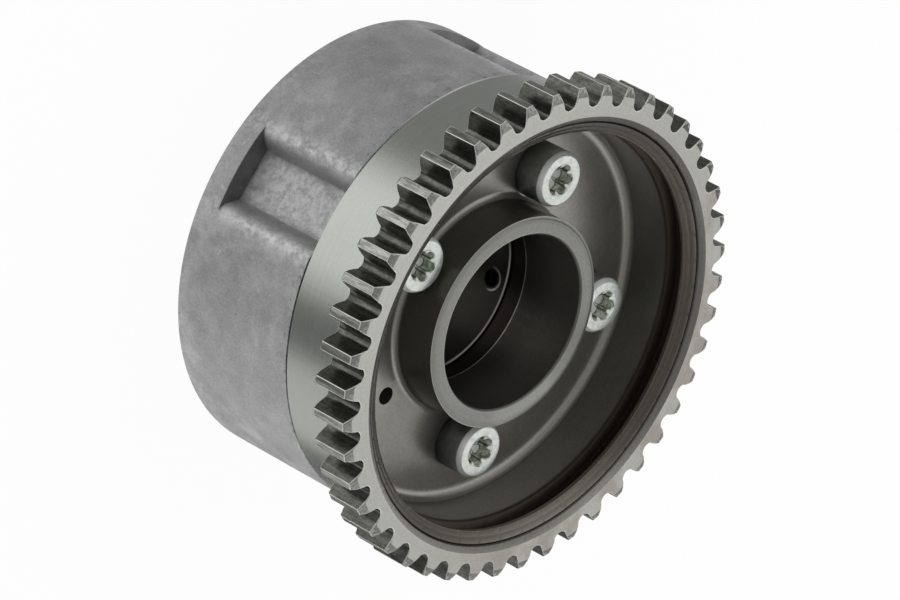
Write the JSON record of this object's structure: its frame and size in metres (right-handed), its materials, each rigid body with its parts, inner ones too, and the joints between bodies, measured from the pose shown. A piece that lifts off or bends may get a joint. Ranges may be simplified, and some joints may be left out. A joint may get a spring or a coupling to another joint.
{
  "type": "cam phaser",
  "caption": "Round camshaft phaser with a toothed drive gear on one end, a cup-shaped housing behind it, and a vaned rotor inside with a sprung lock pin.",
  "frame": {"origin": "on the camshaft axis in the plane of the housing's rear face, which is the bottom of the bounding box", "axes": "+Z along the camshaft axis towards the front face of the drive gear; +X to the middle of the wide gap between the cover screws, where the lock pin sits"},
  "size_m": [0.0904, 0.0904, 0.0481],
  "materials": {
    "housing": "matte die-cast skin, mottled grey",
    "gear": "turned steel, satin, heat-tinted round the hardened rim",
    "screw": "bright zinc",
    "rotor": "ground sintered steel",
    "hard_steel": "ground hardened steel",
    "spring_steel": "spring wire and strip",
    "seal": "filled high-temperature plastic"
  },
  "bodies": {
    "housing_body": {"housing": "housing", "drive_gear": "gear", "cover_screw_1": "screw", "cover_screw_2": "screw", "cover_screw_3": "screw", "cover_screw_4": "screw", "locating_dowel_1": "hard_steel", "locating_dowel_2": "hard_steel", "lock_bush": "hard_steel"},
    "rotor_body": {"rotor": "rotor", "vane_seal_1": "seal", "vane_seal_2": "seal", "vane_seal_3": "seal", "vane_seal_4": "seal", "vane_seal_spring_1": "spring_steel", "vane_seal_spring_2": "spring_steel", "vane_seal_spring_3": "spring_steel", "vane_seal_spring_4": "spring_steel", "lock_pin_cap": "hard_steel", "lock_pin_spring": "spring_steel"},
    "pin_body": {"lock_pin": "hard_steel"}
  },
  "joints": [
    {"name": "rotor_turn", "type": "hinge", "parent": "housing_body", "child": "rotor_body", "pos_m": [0, 0, 0], "axis": [0, 0, 1], "range_deg": [-30, 0]},
    {"name": "lock_pin_slide", "type": "slide", "parent": "rotor_body", "child": "pin_body", "axis": [0, 0, -1], "range_m": [0, 0.0035], "stiffness_N_per_m": 600, "springref_m": 0.008, "deforming": ["lock_pin_spring"]}
  ]
}
